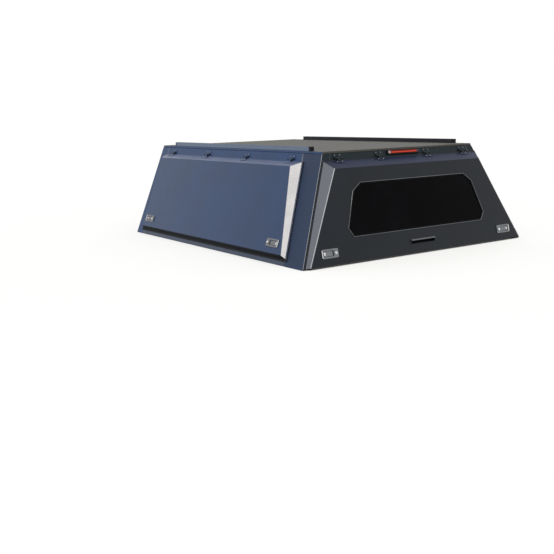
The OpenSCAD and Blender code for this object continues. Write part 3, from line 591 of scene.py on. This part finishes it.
def newTree(name, inputs, *kinds):  # a Geometry Nodes group with named inputs, and its nodes
    tree = bpy.data.node_groups.new(name, "GeometryNodeTree")
    for title, kind in inputs.items():
        tree.interface.new_socket(title, in_out="INPUT", socket_type=f"NodeSocket{kind}")
    tree.interface.new_socket("Geometry", in_out="OUTPUT", socket_type="NodeSocketGeometry")
    return tree, [tree.nodes.new(kind) for kind in (
        "NodeGroupInput", "NodeGroupOutput", "GeometryNodeRealizeInstances", "GeometryNodeSetMaterial", *kinds)]


def connect(tree, *wires):
    for source, output, target, name in wires:
        tree.links.new(source.outputs[output], target.inputs[name])


def stampTree():
    tree, (start, end, real, paint, stamp, turn, toTurn, place) = newTree(
        "stampOnPoints", {"Geometry": "Geometry", "Stamp": "Object", "Size": "Float", "Finish": "Material"},
        "GeometryNodeObjectInfo", "GeometryNodeInputNamedAttribute", "FunctionNodeEulerToRotation",
        "GeometryNodeInstanceOnPoints")
    turn.data_type = "FLOAT_VECTOR"
    turn.inputs["Name"].default_value = "turn"
    connect(tree, (start, "Stamp", stamp, "Object"), (turn, "Attribute", toTurn, 0),
            (start, "Geometry", place, "Points"), (stamp, "Geometry", place, "Instance"),
            (toTurn, 0, place, "Rotation"), (start, "Size", place, "Scale"),
            (place, "Instances", real, "Geometry"), (real, "Geometry", paint, "Geometry"),
            (start, "Finish", paint, "Material"), (paint, "Geometry", end, "Geometry"))
    return tree


def beadTree():
    tree, (start, end, real, paint, path, ring, sweep) = newTree(
        "beadAlongPath", {"Geometry": "Geometry", "Radius": "Float", "Sides": "Int", "Finish": "Material"},
        "GeometryNodeMeshToCurve", "GeometryNodeCurvePrimitiveCircle", "GeometryNodeCurveToMesh")
    connect(tree, (start, "Geometry", path, "Mesh"), (path, "Curve", sweep, "Curve"),
            (start, "Radius", ring, "Radius"), (start, "Sides", ring, "Resolution"),
            (ring, "Curve", sweep, "Profile Curve"), (sweep, "Mesh", real, "Geometry"),
            (real, "Geometry", paint, "Geometry"), (start, "Finish", paint, "Material"),
            (paint, "Geometry", end, "Geometry"))
    return tree


trees = {"stamp": stampTree(), "bead": beadTree()}


def keepGrown(name, mesh, tree, values, body):  # keeps what a tree makes of a mesh as a plain mesh
    points = put(f"{name}Points", mesh)
    maker = points.modifiers.new(tree, "NODES")
    maker.node_group = trees[tree]
    inputs = {item.name: item.identifier for item in trees[tree].interface.items_tree if item.in_out == "INPUT"}
    for title, value in values.items():
        maker[inputs[title]] = value
    bpy.context.view_layer.update()
    real = bpy.data.meshes.new_from_object(points.evaluated_get(bpy.context.evaluated_depsgraph_get()))
    bpy.data.objects.remove(points)
    real.materials.clear()
    real.materials.append(values["Finish"])
    for face in real.polygons:
        face.use_smooth = True
    real.set_sharp_from_angle(angle=math.radians(rounding["sharp"]))
    thing = put(name, real)
    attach(thing, body)


def stampAll(name, places, stamp, finish, body):
    mesh = bpy.data.meshes.new(name)
    mesh.from_pydata([place.to_translation() for place in places], [], [])
    turn = mesh.attributes.new("turn", "FLOAT_VECTOR", "POINT")
    for i, place in enumerate(places):
        turn.data[i].vector = place.to_euler()
    keepGrown(name, mesh, "stamp", {"Stamp": stamp, "Size": 1.0, "Finish": finishes[finish]}, body)


hinge = {
    "axisRise": 0.009, "leaf": 0.003, "leafScrew": 0.019, "screwAside": 0.019, "screwDown": 0.017,
    "end": 0.126, "count": 4, "hatchAt": (-0.522, -0.200, 0.200, 0.522),
    "screwRadius": 0.0040, "screwSides": 12,
    "screwRings": [(1.0, 0.0, 12), (1.0, 0.25, 12), (0.84, 0.5, 12), (0.5, 0.62, 12),  # shares of the radius
                   (0.38, 0.62, 6), (0.36, 0.25, 6)],  # the socket is a hexagon
}
screw = keepAs("screwStamp", turned([(hinge["screwRadius"] * size, hinge["screwRadius"] * high, corners)
                                     for size, high, corners in hinge["screwRings"]], hinge["screwSides"]))


def hingeScrews(base, along, high, run, proud):  # fixed leaf above the knuckle, moving leaf on the bevel
    axisV = high + hinge["axisRise"]
    slope = math.atan((proud - canopy["gap"]) / run)
    down, out = Vector((-math.cos(slope), math.sin(slope))), Vector((math.sin(slope), math.cos(slope)))
    foot = Vector((high - canopy["lip"], canopy["gap"]))
    seat = foot + down * hinge["screwDown"] + out * hinge["leaf"]
    fixed, moving = [], []
    for u in along:
        for aside in (-hinge["screwAside"], hinge["screwAside"]):
            fixed.append(base @ Matrix.Translation((u + aside, axisV + hinge["leafScrew"], hinge["leaf"])))
            moving.append(onFace(base, u + aside, seat.x, seat.y, -slope))
    return fixed, moving


def rearOpening(v):  # distances along the base, at a height v up the side's slope
    return canopy["rearPost"] + rearLean * v


def frontOpening(v):
    return canopy["baseLen"] - canopy["frontPost"] + frontLean * v


rearTop = rearOpening(doorHigh) + hinge["end"]
hingeSpan = frontOpening(doorHigh) - hinge["end"] - rearTop
doorHinges = [rearTop + hingeSpan * i / (hinge["count"] - 1) for i in range(hinge["count"])]
allFixed = []
for side, hand in hands:
    fixed, moving = hingeScrews(sideFrame(side), [side * u for u in doorHinges], doorHigh,
                                canopy["doorRuns"][1], canopy["doorProud"][1])
    allFixed += fixed
    stampAll(f"{hand}_door_hinge_screws", moving, screw, "screwSteel", f"{hand}_door")
fixed, moving = hingeScrews(rearFrame, hinge["hatchAt"], hatchHigh, canopy["hatchRun"], canopy["hatchProud"][1])
allFixed += fixed
stampAll("hatch_hinge_screws", moving, screw, "screwSteel", "hatch")
stampAll("fixed_hinge_screws", allFixed, screw, "screwSteel", "root")

latch = {
    "doorWide": 0.122, "hatchWide": 0.120, "doorIn": 0.127, "doorV": 0.119, "hatchIn": 0.148, "hatchV": 0.073,
    "wall": 0.008, "keyRadius": 0.010, "plate": 0.005, "keyOut": 0.003, "paddleTop": 0.0005,
    "rim": (0.042, 0.0055, 0.0014), "bar": (0.022, 0.0060, 0.0018), "slot": (0.009, 0.0016, 0.0005),
    "key": [(0.0082, 0.0), (0.0082, 0.0008), (0.0072, 0.0016), (0.0046, 0.0016), (0.0042, 0.0011)],
    "button": [(0.0062, 0.0), (0.0062, 0.0010), (0.0048, 0.0022), (0.0024, 0.0026)], "buttonOval": 1.6,
    "buttonAt": 0.023, "barsAt": (0.052, 0.071),  # from the outer end of the plate
}
rearLatchU = rearOpening(latch["doorV"]) + latch["doorIn"]
frontLatchU = frontOpening(latch["doorV"]) - latch["doorIn"]
hatchX = canopy["baseWide"] / 2 - canopy["hatchEdge"] - cornerLean * latch["hatchV"] - latch["hatchIn"]
latchSpots = []  # frame, direction of the key, width, body of the paddle, body of the plate
for side, hand in hands:
    for u, toward, end in ((rearLatchU, 1, "rear"), (frontLatchU, -1, "front")):
        spot = onFace(sideFrame(side), side * u, latch["doorV"], doorFace(latch["doorV"]), doorTilt)
        latchSpots.append((spot, side * toward, latch["doorWide"], f"{hand}_{end}_latch", f"{hand}_door"))
    latchSpots.append((onHatch(side * hatchX, latch["hatchV"]), -side, latch["hatchWide"],
                       f"hatch_{hand}_latch", "hatch"))
rim, bar, keySlot = (keepAs(f"{name}Stamp", ridgeBar(*latch[name])) for name in ("rim", "bar", "slot"))
key = keepAs("keyStamp", turned(latch["key"]))
button = keepAs("buttonStamp", turned(latch["button"], stretch=latch["buttonOval"]))
plates = {}
for spot, toward, wide, paddle, carrier in latchSpots:
    def along(x, out):  # a place on the plate, counted from its outer end
        return spot @ Matrix.Translation((toward * (x - wide / 2), 0, out))

    stampAll(f"{paddle}_bars", [along(x, latch["paddleTop"]) for x in latch["barsAt"]], bar, "latchMetal",
             paddle)
    stampAll(f"{paddle}_button", [along(latch["buttonAt"], latch["paddleTop"])], button, "brightMetal",
             paddle)
    keyX, keyOut = wide - latch["wall"] - latch["keyRadius"], latch["plate"] + latch["keyOut"]
    rims, keys, slots = plates.setdefault(carrier, ([], [], []))
    rims.append(along(latch["wall"] / 2, latch["plate"]))
    keys.append(along(keyX, keyOut))
    slots.append(along(keyX, keyOut + latch["key"][-1][1]))
for carrier, (rims, keys, slots) in plates.items():
    for part, places, stamp, finish in (("rims", rims, rim, "brightMetal"), ("keys", keys, key, "brightMetal"),
                                        ("key_slots", slots, keySlot, "capPlastic")):
        stampAll(f"{carrier}_latch_{part}", places, stamp, finish, carrier)

grip = {"bar": (0.200, 0.010, 0.0050), "v": 0.0815, "out": 0.0045}  # the pull along the top of the hand slot, painted lighter as a painted highlight of its lit top
stampAll("hatch_pull_grip", [onHatch(0, grip["v"], grip["out"]) @ Matrix.Rotation(math.pi / 2, 4, "Z")],
         keepAs("gripStamp", ridgeBar(*grip["bar"])), "trimHighlightCoat", "hatch")

print("canopy: window trim and lamp ends")
trim = {"radius": 0.0022, "sides": 8, "front": 1e-4}  # front is how far behind the foremost corner one may lie


def outlineOf(node, base):  # corners of a flat ring's outer outline, on its front
    spots = [base.inverted() @ corner.co for corner in nodes[node].data.vertices]
    front = max(spot.z for spot in spots)
    spots = [spot for spot in spots if spot.z > front - trim["front"]]
    return [base @ spots[i] for i in convex_hull_2d([spot.xy for spot in spots])]


def beadAround(name, seal, base, body):  # a round bead along the outer edge of a window's seal, painted lighter as a painted highlight of the lit sheet edge
    corners = outlineOf(seal, base)
    path = bpy.data.meshes.new(name)
    path.from_pydata(corners, [(i, (i + 1) % len(corners)) for i in range(len(corners))], [])
    keepGrown(name, path, "bead", {
        "Radius": trim["radius"], "Sides": trim["sides"], "Finish": finishes["trimHighlightCoat"]}, body)


beadAround("hatch_window_trim", "hatch_window_seal", onHatch(0, 0), "hatch")
beadAround("front_window_trim", "front_window_seal", frontFrame, "root")

lampEnd = {"cap": (0.0172, 0.018, 0.0030), "in": 0.0095, "sink": 0.0008}
lampCap = keepAs("lampCapStamp", ridgeBar(*lampEnd["cap"]))
lampOut = max((rearFrame.inverted() @ corner.co).z for corner in nodes["brake_light_lens"].data.vertices)
lampV = (rearFrame.inverted() @ lampMiddle).y
# the left end cap is painted light as a painted reflection, and the right one keeps a dark mauve
for (side, hand), finish in zip(hands, ("lampEndHighlight", "lampMauve")):
    spot = (side * (lampHigh[0] - lampEnd["in"]), lampV, lampOut - lampEnd["sink"])
    stampAll(f"brake_light_{hand}_end", [rearFrame @ Matrix.Translation(spot)], lampCap, finish, "root")
for stamp in stamps:
    bpy.data.objects.remove(stamp)


print("canopy: light and floor")
studio = {
    "floor": 80.0, "floorColour": (0.95, 0.95, 0.95), "floorBounce": (0.22, 0.23, 0.25),
    "floorGlow": 0.04, "floorRough": 0.9, "world": 0.45, "worldColour": (0.93, 0.97, 1.0),
    "key": {"from": (-0.47, -0.48, 0.74), "spread": 19.0, "strength": 2.6, "colour": (1.0, 0.97, 0.92)},
    "black": colour((0, 0, 0)), "white": colour((1, 1, 1)),
}


def addSun(name, lamp):
    light = bpy.data.lights.new(name, "SUN")
    light.angle, light.energy, light.color = math.radians(lamp["spread"]), lamp["strength"], lamp["colour"]
    out = Vector(lamp["from"]).normalized()
    put(name, light).matrix_world = out.to_track_quat("Z", "Y").to_matrix().to_4x4()


def seenDirectly(tree):  # 1 for the camera, and for what metal and glass show of the background
    rays = tree.nodes.new("ShaderNodeLightPath")
    camera, glossy, through = (Wire(tree, rays.outputs[f"Is {kind} Ray"])
                               for kind in ("Camera", "Glossy", "Transmission"))
    return camera.orMore(glossy.orMore(through))


addSun("keySun", studio["key"])

half = studio["floor"]
floorMesh = bpy.data.meshes.new("floor")
floorCorners = [(-half, -half, 0), (half, -half, 0), (half, half, 0), (-half, half, 0)]
floorMesh.from_pydata(floorCorners, [], [range(4)])
floorFinish, floorShader, floorWire = newFinish("floorPaint", {
    "Roughness": studio["floorRough"], "Specular IOR Level": 0.0, "Emission Strength": studio["floorGlow"]})
seen = seenDirectly(floorWire.tree)
feed(floorFinish, floorShader,
     Base_Color=seen.blend(colour(studio["floorBounce"]), colour(studio["floorColour"])),
     Emission_Color=seen.blend(studio["black"], studio["white"]))
floorMesh.materials.append(floorFinish)
floor = put("floor", floorMesh)

world = bpy.data.worlds.new("studio")
world.use_nodes = True
bpy.context.scene.world = world
sky = seenDirectly(world.node_tree).blend(colour(studio["worldColour"], studio["world"]), studio["white"])
world.node_tree.links.new(sky.socket, world.node_tree.nodes["Background"].inputs["Color"])
bpy.context.scene.view_settings.view_transform = "Standard"

print("canopy: done")
